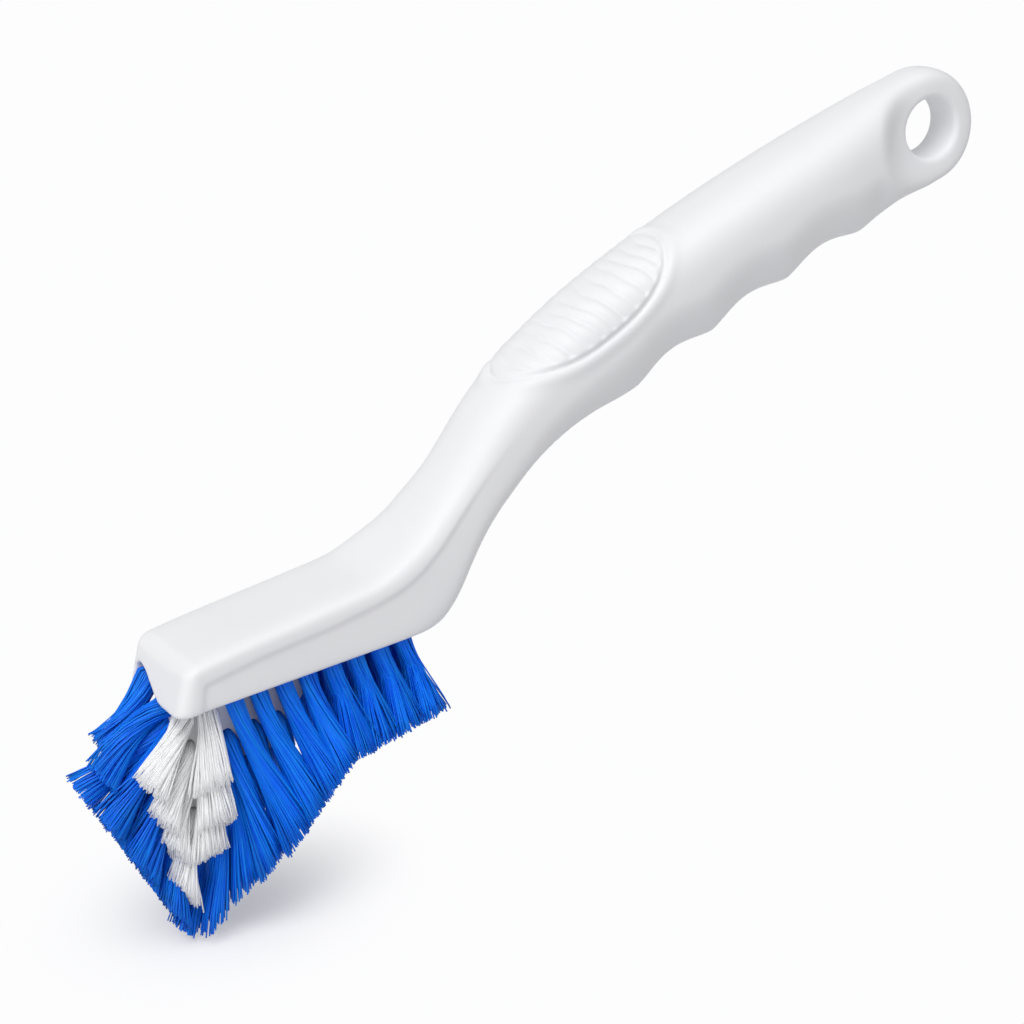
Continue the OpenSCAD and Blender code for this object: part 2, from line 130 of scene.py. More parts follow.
STATIONS = np.array([
    # the front and the rear of the head
    [0, HEAD_FRONT_HEIGHT / 2, HEAD_FRONT_HEIGHT / 2 + BELOW_RIM, HEAD_WIDTH / 2, 7],
    [HEAD_RUN, HEAD_REAR_HEIGHT / 2, HEAD_REAR_HEIGHT / 2 + BELOW_RIM, HEAD_REAR_WIDTH / 2, 7],
    # the heel, the start of the neck and its middle
    [mix(HEAD_RUN, BEND_END, 0.5), HEEL_HEIGHT * 0.44, HEEL_HEIGHT * 0.6,
     HEAD_REAR_WIDTH / 2 - 0.2, 5.5],
    [BEND_END, NECK_THICKNESS / 2 + 0.5, NECK_THICKNESS / 2 + 0.3, NECK_WIDTH / 2 + 1, 4],
    [mix(BEND_END, NECK_END, 0.6), NECK_THICKNESS / 2, NECK_THICKNESS / 2, NECK_WIDTH / 2, 3.2],
    # the start of the grip, its first crest and its fullest place
    [GRIP_START, GRIP_HEIGHT * 0.395, GRIP_HEIGHT * 0.42, mix(NECK_WIDTH, GRIP_WIDTH, 0.6) / 2, 3],
    [FIRST_CREST, GRIP_HEIGHT * 0.44, GRIP_HEIGHT * 0.53, mix(NECK_WIDTH, GRIP_WIDTH, 0.8) / 2, 3],
    [mix(GRIP_START, HOLE_PLACE, 0.72), GRIP_HEIGHT * 0.46, GRIP_HEIGHT * 0.56,
     GRIP_WIDTH / 2, 2.9],
    # the hang hole and the round end
    [HOLE_PLACE, END_HEIGHT / 2, END_HEIGHT / 2, END_WIDTH / 2, 3],
    [HOLE_PLACE + END_HEIGHT / 2, END_HEIGHT / 2, END_HEIGHT / 2, END_WIDTH / 2 - 2, 3],
])
print("stations:", len(STATIONS), "from", STATIONS[0, 0], "to", STATIONS[-1, 0].round(1), "mm")


# %% The sections between them, and the finger grooves
FINGER_GROOVES, FINGER_PITCH, FINGER_DEPTH = 3, 23.0, 2.5
SHALLOW = 0.45              # depth of the last, shallow groove as a share of the others
CREST_ROUNDING = 1.4        # above 1, the grooves are narrower and the crests rounder
PAST_HOLE = np.arange(0.1, 16, 0.1)    # mm, places past the hole's axis, to the round end


def smooth_through_stations(s):
    """Values on smooth curves through the stations, at the distances s"""
    last = len(STATIONS) - 1
    k = np.clip(np.searchsorted(STATIONS[:, 0], s, side="right") - 1, 0, last - 1)

    def slope(i):
        before, after = STATIONS[np.maximum(i - 1, 0)], STATIONS[np.minimum(i + 1, last)]
        return (after[:, 1:] - before[:, 1:]) / (after[:, :1] - before[:, :1])

    a, b = STATIONS[k], STATIONS[k + 1]
    span = b[:, :1] - a[:, :1]
    t = (s[:, None] - a[:, :1]) / span
    return ((2 * t**3 - 3 * t * t + 1) * a[:, 1:] + (t**3 - 2 * t * t + t) * span * slope(k)
            + (3 * t * t - 2 * t**3) * b[:, 1:] + (t**3 - t * t) * span * slope(k + 1))


def groove(s):
    """How far the finger grooves cut into the underside"""
    t = (s - FIRST_CREST) / FINGER_PITCH
    depth = FINGER_DEPTH * np.where(t > FINGER_GROOVES, SHALLOW, 1)
    outside = (t < 0) | (t > FINGER_GROOVES + 1)
    return np.where(outside, 0, np.abs(np.sin(np.pi * t)) ** CREST_ROUNDING * depth)


SECTION_S = np.append(LINE_S, HOLE_PLACE + PAST_HOLE)
SECTIONS = smooth_through_stations(np.clip(SECTION_S, 0, STATIONS[-1, 0]))
GROOVES = groove(np.minimum(SECTION_S, HOLE_PLACE))
print("section table:", SECTIONS.shape, "deepest groove", GROOVES.max().round(2), "mm")

# %% [markdown]
# ## The skin as one distance
# An injection moulding has no sharp edges: every face rolls into the next with a radius, because
# the steel tool is cut that way and sharp plastic would chip. Bevels could round a mesh, but they
# fail where many curved faces meet. A distance function doesn't. It says for any point how far
# outside the skin it is, and two such distances are joined with a rounding of any radius. The mesh
# is then laid on the place where the distance is zero.


# %% Joining distances
def round_and(a, b, radius):
    """The inside of both a and b, with the edge between them rounded"""
    return (np.minimum(-radius, np.maximum(a, b))
            + np.hypot(np.maximum(a + radius, 0), np.maximum(b + radius, 0)))


def soft_step(value, start, end):
    t = np.clip((value - start) / (end - start), 0, 1)
    return t * t * (3 - 2 * t)


def hump(value, middle, width):
    return np.exp(-((value - middle) / width) ** 2)


def oval_distance(across, over, half_across, half_over, fullness):
    """How far outside an oval a point is. Its place is given in shares of the half axes, and a
    higher fullness makes the oval squarer."""
    size = np.maximum(across**fullness + over**fullness, 1e-9) ** (1 / fullness)
    steep = np.hypot(size ** (1 - fullness) * across ** (fullness - 1) / half_across,
                     size ** (1 - fullness) * over ** (fullness - 1) / half_over)
    return (size - 1) / np.maximum(steep, 1e-3)


# %% Where a point is on the bar
EVERY, BLOCK = 12, 20000    # each 12th point of the line is tried first, for 20000 points at once
SEARCH_STEPS, LONGEST_SEARCH_STEP = 5, 5    # steps towards the nearest place, and mm


def nearest_of_few(x, z):
    """A first guess of the nearest place on the line"""
    few_x, few_z = LINE_X[::EVERY], LINE_Z[::EVERY]
    return np.concatenate([
        LINE_S[::EVERY][((x[i:i + BLOCK, None] - few_x) ** 2
                         + (z[i:i + BLOCK, None] - few_z) ** 2).argmin(1)]
        for i in range(0, len(x), BLOCK)])


def beside_the_line(points, guess=None):
    """Distance along the line, rise above it, and how far a point is past the hole"""
    x, z = points[:, 0], points[:, 2]
    s = nearest_of_few(x, z) if guess is None else guess

    def local(s):
        px, pz, turn = (np.interp(s, LINE_S, values) for values in (LINE_X, LINE_Z, LINE_TURN))
        cos, sin = np.cos(turn), np.sin(turn)
        return (x - px) * cos + (z - pz) * sin, (z - pz) * cos - (x - px) * sin

    for _ in range(SEARCH_STEPS):
        ahead, rise = local(s)
        step = ahead / np.maximum(1 - rise * np.interp(s, LINE_S, TURN_RATE), 0.3)
        step = np.clip(step, -LONGEST_SEARCH_STEP, LONGEST_SEARCH_STEP)
        s = np.clip(s + step, LINE_S[0], HOLE_PLACE)
    ahead, rise = local(s)
    return s, rise, np.where(s >= HOLE_PLACE - 1e-6, np.maximum(ahead, 0), 0)


# %% [markdown]
# The bar alone is an oval whose size follows the line. Past the hole it turns about the hole's
# axis, which makes the round end. Two forms are cut into its sides: a shallow panel along the head
# and neck, whose upper edge catches the light, and the flanks of the grip, which lean in below a
# long crease so that the fingers find the grooves. Both fade out along the bar, as the real ones
# do.

# %% The panel and the flanks
# the panel's upper edge: distance along the line, and height above it
CREASE_S = [0, 4.2, 20, 37, 50, 66, 81, 93, 103, 130]
CREASE_RISE = [0.7, 0.7, 1.9, 2.3, 3.4, 3.7, 3.0, 2.6, 1.9, 1.2]
PANEL_DEPTH, PANEL_EDGE = 0.45, (-0.3, 0.9)            # mm, and mm below the upper edge
PANEL_FRONT, PANEL_FADE = (4.5, 5.7), (74.0, 104.0)    # mm along the line
PANEL_SIDE = 0.7, 0.85                                 # shares of the half width
FLANK_RISE, FLANK_REACH, FLANK_TURN = -4.4, 0.985, 25.0    # mm, share of half the width, degrees
FLANK_START, FLANK_END = (84.0, 102.0), (204.0, 220.0)     # mm along the line
FLANK_AWAY, FLANK_ROUND = 6, 1.2    # mm that it stands off where it has ended, and its radius
FLANK_IN_GROOVES = 0.3              # share of a groove's depth by which the flank moves in


def bar(points, guess):
    """Distance to the bar with its panel and flanks, and where the points are on the line"""
    s, rise, ahead = beside_the_line(points, guess)
    place, side = s + ahead, np.abs(points[:, 1])
    up, down, half, square = (np.interp(place, SECTION_S, SECTIONS[:, i]) for i in range(4))
    cut = np.interp(place, SECTION_S, GROOVES)
    tall = np.where(rise > 0, up, down - cut)
    skin = oval_distance(side / half, np.hypot(rise, ahead) / tall, half, tall, square)
    turn = np.radians(FLANK_TURN)
    away = FLANK_AWAY * (1 - soft_step(s, *FLANK_START) * (1 - soft_step(s, *FLANK_END)))
    flank = (np.cos(turn) * (side - half * FLANK_REACH) - np.sin(turn) * (rise - FLANK_RISE)
             + FLANK_IN_GROOVES * cut - away)
    skin = round_and(skin, flank, FLANK_ROUND)
    below = np.interp(s, CREASE_S, CREASE_RISE) - rise
    panel = (soft_step(below, *PANEL_EDGE) * soft_step(s, *PANEL_FRONT)
             * (1 - soft_step(s, *PANEL_FADE))
             * soft_step(side, half * PANEL_SIDE[0], half * PANEL_SIDE[1]))
    return skin + PANEL_DEPTH * panel, s, rise


# %% [markdown]
# ## The thumb pad
# The thumb rests on an oval pad on top of the grip. A raised lip and a narrow groove run round it.
# Flat ribs with narrow valleys between them cross it for grip. They wander and lean a little, and
# fade towards the far side. A bump in the material could fake them, but they show in the outline
# of the handle, so they are part of its distance.

# %% The lip, the groove and the ribs
PAD_MIDDLE, PAD_HALF_LENGTH = 129.0, 23.5    # mm along the line
PAD_HALF_ANGLE, PAD_FULLNESS = 73.0, 2.3     # degrees round the bar, and how square the oval is
RIB_PITCH, RIB_DEPTH = 3.6, 0.6              # mm
RIB_VALLEY, RIB_LEAN = 0.2, 0.3              # half width of a valley as a share of the pitch, lean
RIB_FADE, FAR_RIBS = (-7, 3), 0.2            # mm across, and the share left on the far side
LIP_HEIGHT, LIP_PLACE, LIP_WIDTH = 0.35, 1.6, 1.4           # mm, outside the pad's edge
GROOVE_DEPTH, GROOVE_PLACE, GROOVE_WIDTH = 0.55, -0.1, 0.6  # mm, at the pad's edge
FIELD_RISE, FIELD_EDGE, RIBS_EDGE = 0.25, (0.4, 1.6), (1.0, 1.9)    # mm, inside the edge


def thumb_pad(points, s, rise):
    """How far the pad's lip, groove and ribs raise the skin"""
    side = points[:, 1]
    radius = np.maximum(np.hypot(side, rise), 1)
    angle = np.degrees(np.arctan2(np.abs(side), rise))
    edge = oval_distance(np.abs(s - PAD_MIDDLE) / PAD_HALF_LENGTH, angle / PAD_HALF_ANGLE,
                         PAD_HALF_LENGTH, np.radians(PAD_HALF_ANGLE) * radius, PAD_FULLNESS)
    wave = s - RIB_LEAN * (radius - rise)
    wave += 0.4 * np.sin(side * 0.23 + s * 0.31)     # a long wander and a short one
    wave += 0.15 * np.sin(side * 0.7 - s * 0.5)
    from_valley = wave / RIB_PITCH - np.floor(wave / RIB_PITCH) - 0.5
    uneven = 0.8 + 0.2 * np.sin(s * 0.9 + side * 0.4)
    ribs = -RIB_DEPTH * hump(from_valley, 0, RIB_VALLEY) * uneven
    ribs *= mix(FAR_RIBS, 1, soft_step(-side, *RIB_FADE))
    lip = (LIP_HEIGHT * hump(edge, LIP_PLACE, LIP_WIDTH)
           - GROOVE_DEPTH * hump(edge, GROOVE_PLACE, GROOVE_WIDTH))
    return (lip + FIELD_RISE * soft_step(-edge, *FIELD_EDGE)
            + ribs * soft_step(-edge, *RIBS_EDGE))


# %% [markdown]
# ## What is cut from the bar
# The tool's cores leave the rest: the leaning front wall, the flat rim, the tray that takes the
# plug and the low opening under the front wall. Each could be a Boolean, but then its edges would
# be sharp and would need their own bevels. As distances they round into the bar.

# %% The tray and the opening
TRAY_WALL, TRAY_DEPTH, TRAY_LENGTH, TRAY_START, TRAY_CORNER = 2.0, 8.0, 54.0, 5.6, 3.0
ARCH_WIDTH, ARCH_HEIGHT, ARCH_LEFT, ARCH_RISE, ARCH_FALL = 15.5, 5.4, 3.5, 1.5, 0.3
ARCH_STEPS, ARCH_BELOW = 24, 3      # points along the arch, and mm that it is open below the rim


def tray(p):
    half = np.array([TRAY_LENGTH / 2, HEAD_REAR_WIDTH / 2 - TRAY_WALL])
    q = np.abs(np.stack([p[:, 0] - TRAY_START - half[0], p[:, 1]], 1)) - half + TRAY_CORNER
    walls = np.hypot(*np.maximum(q, 0).T) + np.minimum(q.max(1), 0) - TRAY_CORNER
    return np.maximum(walls, p[:, 2] - TRAY_DEPTH)


def arch_outline():
    """The opening from the front, as sideways and up: a slow rise to the left, a steep fall"""
    t = np.linspace(0, 1, ARCH_STEPS + 1)
    peak = ARCH_RISE / (ARCH_RISE + ARCH_FALL)
    top = ARCH_HEIGHT * (t / peak) ** ARCH_RISE * ((1 - t) / (1 - peak)) ** ARCH_FALL
    foot = [[ARCH_WIDTH, -ARCH_BELOW], [0, -ARCH_BELOW]]
    return np.concatenate([foot, np.stack([t * ARCH_WIDTH, top], 1)]) - [ARCH_LEFT, 0]


ARCH = arch_outline()


def opening(p):
    """Signed distance to the opening's outline, seen from the front"""
    q = p[:, None, 1:] - ARCH
    edge = np.roll(ARCH, -1, 0) - ARCH
    share = np.clip((q * edge).sum(2) / np.maximum((edge * edge).sum(1), 1e-9), 0, 1)
    distance = np.sqrt(((q - share[:, :, None] * edge) ** 2).sum(2)).min(1)
    y, z = p[:, 1:2], p[:, 2:3]
    (y0, z0), (y1, z1) = ARCH.T, np.roll(ARCH, -1, 0).T
    at_height = y0 + (y1 - y0) * (z - z0) / np.where(z1 == z0, 1, z1 - z0)
    crosses = ((z0 > z) != (z1 > z)) & (y < at_height)
    return np.where(crosses.sum(1) % 2 == 1, -distance, distance)


print("opening:", np.ptp(ARCH[:, 0]).round(1), "mm wide and", ARCH[:, 1].max().round(2), "mm high")

# %% [markdown]
# The eyelet is thinner than the grip. Its two faces are dished, and each dish ends in a wide soft
# bowl towards the grip and turns tighter round the end. The hang hole has a rolled rim, so that no
# peg or cord meets a sharp edge.

# %% The whole handle as one distance
HOLE_DIAMETER, EYELET_THICKNESS, EYELET_FLAT = 14.0, 11.0, 28.0
FRONT_ROUND, RIM_ROUND, TRAY_ROUND, OPENING_ROUND, HOLE_ROUND = 3.0, 0.5, 0.4, 0.8, 1.5
DISH_ROUND, DISH_PAST_FLAT = 7, 1            # mm, in its corner, and how far it passes the flat
JOIN_AT_END, JOIN_AT_GRIP, JOIN_CHANGE = 2, 4, (-4, 10)    # mm, where the dish meets the bar
PAD_REACH, PAD_LOWEST, EYELET_REACH = 30, -4, 30           # mm, where these forms can be
HEAD_REACH = TRAY_START + TRAY_LENGTH + 20


def cut_head(skin, p):
    cut = round_and(skin, -p[:, 2], RIM_ROUND)
    cut = round_and(cut, -tray(p), TRAY_ROUND)
    first = p[:, 0] < TRAY_START + TRAY_CORNER
    cut[first] = round_and(cut[first], -opening(p[first]), OPENING_ROUND)
    return cut


def cut_eyelet(skin, p):
    from_axis = np.hypot(p[:, 0] - HOLE[0], p[:, 2] - HOLE[2])
    dish = round_and(EYELET_THICKNESS / 2 - np.abs(p[:, 1]),
                     from_axis - EYELET_FLAT / 2 - DISH_PAST_FLAT, DISH_ROUND)
    to_grip = soft_step(HOLE[0] - p[:, 0], *JOIN_CHANGE)
    cut = round_and(skin, -dish, mix(JOIN_AT_END, JOIN_AT_GRIP, to_grip))
    return round_and(cut, HOLE_DIAMETER / 2 - from_axis, HOLE_ROUND)


def handle_distance(points, guess=None):
    skin, s, rise = bar(points, guess)
    near_pad = (np.abs(s - PAD_MIDDLE) < PAD_REACH) & (rise > PAD_LOWEST)
    if near_pad.any():
        skin[near_pad] -= thumb_pad(points[near_pad], s[near_pad], rise[near_pad])
    skin = round_and(skin, -s * np.cos(LINE_TURN[0]), FRONT_ROUND)
    head = points[:, 0] < HEAD_REACH
    skin[head] = cut_head(skin[head], points[head])
    end = s > HOLE_PLACE - EYELET_REACH
    skin[end] = cut_eyelet(skin[end], points[end])
    return skin, s


# %% [markdown]
# ## The handle's mesh
# The mesh starts as a copy of the CAD handle. A voxel remesh covers it with small even quads, and
# then every point steps along the distance's slope until it lies on the skin. Between two rounds
# the points are evened out, so that the net has no creases of its own. Where the thumb pad is, the
# quads are split once more, because its ribs are finer than they are.

# %% Reading, writing and remeshing a mesh
VOXEL = 0.62                # mm


def read_points(mesh):
    flat = np.empty(len(mesh.vertices) * 3)
    mesh.vertices.foreach_get("co", flat)
    return flat.reshape(-1, 3)


def write_points(mesh, points):
    mesh.vertices.foreach_set("co", np.ascontiguousarray(points).ravel())
    mesh.update()


def read_edges(mesh):
    flat = np.empty(len(mesh.edges) * 2, dtype=int)
    mesh.edges.foreach_get("vertices", flat)
    return flat.reshape(-1, 2)


def remeshed_copy(source):
    """A new mesh in millimetres, measured from the front of the rim"""
    piece = bpy.data.objects.new("remesh", source.data.copy())
    scene.collection.objects.link(piece)
    write_points(piece.data, read_points(piece.data) / MM + HOLE)
    modifier = piece.modifiers.new("even quads", "REMESH")
    modifier.mode, modifier.voxel_size = "VOXEL", VOXEL
    evaluated = piece.evaluated_get(bpy.context.evaluated_depsgraph_get())
    mesh = bpy.data.meshes.new_from_object(evaluated)
    bpy.data.objects.remove(piece)
    return mesh


def split_where(mesh, chosen):
    """Splits the quads whose corners are all chosen"""
    work = bmesh.new()
    work.from_mesh(mesh)
    work.verts.ensure_lookup_table()
    faces = [f for f in work.faces if all(chosen[v.index] for v in f.verts)]
    bmesh.ops.subdivide_edges(work, edges=list({e for f in faces for e in f.edges}), cuts=1,
                              use_grid_fill=True)
    work.to_mesh(mesh)
    work.free()


# %% Laying the mesh on the skin
PROBE, LONGEST_STEP, EVENING = 0.02, 1.2, 0.6    # mm, mm, and the share moved to the neighbours
CORNERS = np.array([[1, -1, -1], [-1, -1, 1], [-1, 1, -1], [1, 1, 1]])    # of a tetrahedron


def slope_of(points, guess):
    return sum(corner * handle_distance(points + corner * PROBE, guess)[0][:, None]
               for corner in CORNERS) / (4 * PROBE)


def onto_skin(points, guess=None):
    for _ in range(2):
        distance, guess = handle_distance(points, guess)
        slope = slope_of(points, guess)
        step = distance / np.maximum((slope**2).sum(1), 0.25)
        points = points - np.clip(step, -LONGEST_STEP, LONGEST_STEP)[:, None] * slope
    return points, guess


def evened_out(points, edges):
    """Moves each point towards the middle of its neighbours"""
    total, count = np.zeros_like(points), np.zeros(len(points))
    for a, b in (edges.T, edges.T[::-1]):
        np.add.at(total, a, points[b])
        np.add.at(count, a, 1)
    return mix(points, total / np.maximum(count, 1)[:, None], EVENING)


# %% The handle
SPLIT_MARGIN, SPLIT_MARGIN_ANGLE = 3, 9    # mm and degrees outside the pad


def handle_mesh():
    mesh = remeshed_copy(nodes["handle"])
    edges = read_edges(mesh)
    points, guess = onto_skin(read_points(mesh))
    for _ in range(2):
        points, guess = onto_skin(evened_out(points, edges), guess)
    write_points(mesh, points)
    angle = np.degrees(np.arctan2(np.abs(points[:, 1]), beside_the_line(points, guess)[1]))
    split_where(mesh, (np.abs(guess - PAD_MIDDLE) < PAD_HALF_LENGTH + SPLIT_MARGIN)
                & (angle < PAD_HALF_ANGLE + SPLIT_MARGIN_ANGLE))
    points, guess = onto_skin(read_points(mesh))
    write_points(mesh, (points - HOLE) * MM)
    mesh.polygons.foreach_set("use_smooth", [True] * len(mesh.polygons))
    return mesh


moulded_handle = bpy.data.objects.new("moulded_handle", handle_mesh())
scene.collection.objects.link(moulded_handle)
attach(moulded_handle, "root")
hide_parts("handle")
print("handle:", len(moulded_handle.data.polygons), "faces")

# %% [markdown]
# ## Materials
# Colours are written as sRGB hex values, as a picture shows them, and one function turns them to
# the linear values that shaders take. A number that is the same all over a surface goes on the
# shader's own socket, so that the exported model keeps it.


# %% Colours and nodes
def linear(hex_colour):
    """An sRGB colour as written, in the linear values that shaders take"""
    values = [int(hex_colour[i:i + 2], 16) / 255 for i in (1, 3, 5)]
    return [v / 12.92 if v <= 0.04045 else ((v + 0.055) / 1.055) ** 2.4 for v in values] + [1]


def add_node(tree, kind, sockets=(), **settings):
    """Adds a node, sets its properties and sockets by name, and then sets or links others"""
    node = tree.nodes.new(kind)
    for name, value in settings.items():
        if hasattr(node, name):
            setattr(node, name, value)
        else:
            node.inputs[name.replace("_", " ")].default_value = value
    for name, value in sockets:
        if isinstance(value, bpy.types.NodeSocket):
            tree.links.new(value, node.inputs[name])
        else:
            node.inputs[name].default_value = value
    return node


def new_material(name, **sockets):
    """A material, its tree and its shader, with these values on the shader's own sockets"""
    material = bpy.data.materials.new(name)
    material.use_nodes = True
    shader = material.node_tree.nodes["Principled BSDF"]
    for socket, value in sockets.items():
        shader.inputs[socket.replace("_", " ")].default_value = value
    return material, material.node_tree, shader


def paint(piece, material):
    piece.data.materials.clear()
    piece.data.materials.append(material)


# %% [markdown]
# ### Injection-moulded polypropylene
# The handle and the plug are polypropylene, coloured white in the mass. A polished tool leaves a
# satin gloss with a faint waviness from shrinking, and light enters the plastic a little, which
# softens its shadows. The two halves of the tool leave a fine ridge along the middle of the
# handle. It is too small for the mesh, so it is a bump.

# %% Moulded polypropylene
SHRINK_WAVE = 9.0           # mm between the soft waves that shrinking leaves
TOOL_GRAIN = 0.5            # mm, marks of the polished tool, as coarse as they need to show
PARTING_LINE = 0.2          # mm, half the width of the ridge where the halves of the tool meet
LIGHT_DEPTH = 2.0           # mm that light spreads inside the plastic


def moulded_polypropylene(name, colour, shade, roughness):
    material, tree, shader = new_material(
        name, Roughness=roughness, IOR=1.49, Specular_IOR_Level=0.25, Subsurface_Weight=0.12,
        Subsurface_Radius=(1.0, 1.0, 1.0), Subsurface_Scale=LIGHT_DEPTH * MM)
    where = add_node(tree, "ShaderNodeTexCoord").outputs["Object"]
    cloud = add_node(tree, "ShaderNodeTexNoise", [("Vector", where)],
                     Scale=1 / (3 * SHRINK_WAVE * MM), Detail=2.0)
    tint = add_node(tree, "ShaderNodeMix", [("Factor", cloud.outputs["Fac"])],
                    data_type="RGBA", A=linear(colour), B=linear(shade))
    tree.links.new(tint.outputs["Result"], shader.inputs["Base Color"])
    wave = add_node(tree, "ShaderNodeTexNoise", [("Vector", where)],
                    Scale=1 / (SHRINK_WAVE * MM), Detail=1.0)
    grain = add_node(tree, "ShaderNodeTexNoise", [("Vector", where)],
                     Scale=1 / (TOOL_GRAIN * MM), Detail=3.0)
    place = add_node(tree, "ShaderNodeSeparateXYZ", [("Vector", where)])
    aside = add_node(tree, "ShaderNodeMath", [(0, place.outputs["Y"])], operation="ABSOLUTE")
    line = add_node(tree, "ShaderNodeMapRange", [("Value", aside.outputs[0])],
                    From_Max=PARTING_LINE * MM, To_Min=1, To_Max=0)
    soft = add_node(tree, "ShaderNodeBump", [("Height", wave.outputs["Fac"])],
                    Strength=0.25, Distance=0.15 * MM)
    fine = add_node(tree, "ShaderNodeBump",
                    [("Height", grain.outputs["Fac"]), ("Normal", soft.outputs["Normal"])],
                    Strength=0.08, Distance=0.02 * MM)
    seam = add_node(tree, "ShaderNodeBump",
                    [("Height", line.outputs["Result"]), ("Normal", fine.outputs["Normal"])],
                    Strength=0.5, Distance=0.05 * MM)
    tree.links.new(seam.outputs["Normal"], shader.inputs["Normal"])
    return material


white_moulding = moulded_polypropylene("injection_moulded_polypropylene",
                                       "#F6F6F8", "#F1F2F5", 0.42)
white_plug = moulded_polypropylene("moulded_polypropylene_plug", "#F4F5F8", "#EEF0F4", 0.45)
paint(moulded_handle, white_moulding)
paint(nodes["bristle_block"], white_plug)
print("painted the handle and the plug:", white_moulding.name, "and", white_plug.name)

# %% [markdown]
# ### Extruded filament
# Bristles of this kind are extruded thermoplastic, such as nylon: smooth, satin, and a little
# clear, each one a shade lighter or darker than the next. Clear plastic full of air gaps could be
# traced as glass, but that is slow and grainy. So clearness is the share of light that passes
# straight on where the filament casts a shadow. Softness turns the shading from the single tube
# towards its place in the bundle, which every mesh below keeps as an attribute named outward.

# %% Extruded filament
STREAK = 4.0                # mm, over which the colour of a filament changes


def extruded_filament(name, dark, light, clearness, softness):
    material, tree, shader = new_material(name, Roughness=0.4, IOR=1.5, Specular_IOR_Level=0.22)
    which = add_node(tree, "ShaderNodeNewGeometry").outputs
    where = add_node(tree, "ShaderNodeTexCoord").outputs["Object"]
    streak = add_node(tree, "ShaderNodeTexNoise", [("Vector", where)],
                      Scale=1 / (STREAK * MM), Detail=1.0)
    both = add_node(tree, "ShaderNodeMath",
                    [(0, which["Random Per Island"]), (1, streak.outputs["Fac"])],
                    operation="ADD")
    half = add_node(tree, "ShaderNodeMath", [(0, both.outputs[0]), (1, 0.5)], operation="MULTIPLY")
    tint = add_node(tree, "ShaderNodeMix", [("Factor", half.outputs[0])],
                    data_type="RGBA", A=linear(dark), B=linear(light))
    tree.links.new(tint.outputs["Result"], shader.inputs["Base Color"])
    outward = add_node(tree, "ShaderNodeAttribute", attribute_name="outward")
    rounded = add_node(tree, "ShaderNodeVectorMath",
                       [(0, outward.outputs["Vector"]), (1, (softness, softness, softness)),
                        (2, which["Normal"])], operation="MULTIPLY_ADD")
    even = add_node(tree, "ShaderNodeVectorMath", [(0, rounded.outputs[0])], operation="NORMALIZE")
    tree.links.new(even.outputs[0], shader.inputs["Normal"])
    ray = add_node(tree, "ShaderNodeLightPath")
    passed = add_node(tree, "ShaderNodeMath", [(0, ray.outputs["Is Shadow Ray"]), (1, clearness)],
                      operation="MULTIPLY")
    clear = add_node(tree, "ShaderNodeBsdfTransparent")
    surface = add_node(tree, "ShaderNodeMixShader",
                       [(0, passed.outputs[0]), (1, shader.outputs[0]), (2, clear.outputs[0])])
    tree.links.new(surface.outputs[0], tree.nodes["Material Output"].inputs["Surface"])
    return material


blue_filament = extruded_filament("extruded_filament_blue", "#005EFF", "#0A94FF", 0.5, 1.2)
white_filament = extruded_filament("extruded_filament_white", "#FCFDFF", "#FFFFFF", 0.95, 0.2)
print("filament:", blue_filament.name, "and", white_filament.name)

# %% [markdown]
# ### Drawn steel wire
# The anchors are short lengths of drawn steel wire. Drawing leaves fine lines that make the shine
# uneven, so the roughness varies over them. Hardly any light reaches them inside the plug.

# %% Drawn steel wire
DRAWING_LINES = 0.3         # mm, coarser than the real ones, so that they can show at all


def drawn_steel():
    material, tree, shader = new_material("drawn_steel_wire", Metallic=1.0,
                                          Base_Color=linear("#C9C7C1"))
    where = add_node(tree, "ShaderNodeTexCoord").outputs["Object"]
    lines = add_node(tree, "ShaderNodeTexNoise", [("Vector", where)],
                     Scale=1 / (DRAWING_LINES * MM), Detail=2.0)
    rough = add_node(tree, "ShaderNodeMapRange", [("Value", lines.outputs["Fac"])],
                     To_Min=0.25, To_Max=0.45)
    tree.links.new(rough.outputs["Result"], shader.inputs["Roughness"])
    return material


paint(nodes["staples"], drawn_steel())
print("materials:", [m.name for m in bpy.data.materials if m.users])

# %% [markdown]
# ## The bundles
# A bundle is a hank of filament, folded in half and pushed into its hole, so it leaves the plug as
# a tight round rod and opens towards its ends, which are trimmed after all bundles are in. A hair
# system could grow them, but each bundle has its own bend and trim, which would take much combing.
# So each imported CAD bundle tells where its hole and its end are, and the filaments between are
# drawn one by one, because their ends make the ragged trim that one sees. The two directions that
# a packed bundle can't tell are given here by its name.

# %% How bundles leave the plug and how they are trimmed
DOWN, FORWARD, ARCH_FORWARD = (0, 0, -1), (-1, 0, -0.9), (-1, 0, -0.5)
SIDEWAYS, NOSE_SIDE, CORNER_SIDE = (0, -0.7, -1), (-0.9, -0.6, -1), (-0.2, -0.9, -1)
FRONT_TRIM, REAR_TRIM, HEEL_TRIM = (-16.8, 0, 39.1), (37.4, 0, 31.9), (22.5, 0, 3.9)
CORNER_TRIM, TIP_TRIM = (0.55, -0.6, 0.5), (1, 0, 0)


def leaving_and_trim(name):
    """Directions in which a bundle leaves the plug, and in which its trimmed end runs"""
    if name.startswith("arch"):
        return (ARCH_FORWARD if name.endswith("1") else FORWARD), FRONT_TRIM
    if name.startswith("front"):
        return FORWARD, FRONT_TRIM
    if "_keel_" in name:
        return SIDEWAYS, REAR_TRIM
    if name.startswith(("white_front", "far_front")):
        return NOSE_SIDE, FRONT_TRIM
    if name.startswith(("white_side", "far_side")):
        return CORNER_SIDE, CORNER_TRIM
    if "heel" in name:
        return DOWN, HEEL_TRIM
    return DOWN, (REAR_TRIM if "edge" in name else TIP_TRIM)


